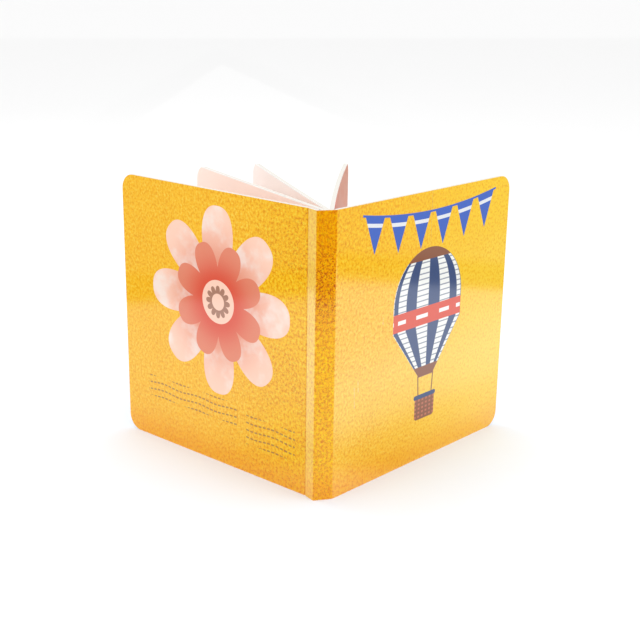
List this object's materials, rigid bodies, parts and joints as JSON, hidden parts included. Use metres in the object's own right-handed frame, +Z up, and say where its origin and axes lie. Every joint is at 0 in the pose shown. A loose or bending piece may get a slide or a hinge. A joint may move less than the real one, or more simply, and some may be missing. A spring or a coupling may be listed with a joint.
{
  "type": "board book",
  "caption": "Square board book that stands part open, with thick round-cornered leaves fanned between two hinged laminated covers and a flat spine.",
  "frame": {"origin": "foot of the spine, in the middle of the spine's outer face, on the plane the book stands on", "axes": "+Z up along the spine, +Y into the book at right angles to the spine, +X from the back cover's side of the spine to the front cover's side"},
  "size_m": [0.2146, 0.1467, 0.152],
  "materials": {
    "spine": "gloss laminated board, golden yellow print with fine mottled specks",
    "pages": "satin coated board with pale peach print and white cut edges",
    "front_cover": "gloss laminated board, golden yellow print with fine mottled specks, white cut edges",
    "back_cover": "gloss laminated board, golden yellow print with fine mottled specks, white cut edges"
  },
  "bodies": {
    "block": {"spine": "spine", "pages": "pages"},
    "front": {"front_cover": "front_cover"},
    "back": {"back_cover": "back_cover"}
  },
  "joints": [
    {"name": "front_cover_hinge", "type": "hinge", "parent": "block", "child": "front", "pos_m": [0.00484, 0.0009, 0.076], "axis": [0, 0, -1], "range_deg": [-38, 122.5]},
    {"name": "back_cover_hinge", "type": "hinge", "parent": "block", "child": "back", "pos_m": [-0.00446, 0.0009, 0.076], "axis": [0, 0, 1], "range_deg": [-12, 145.9]}
  ]
}
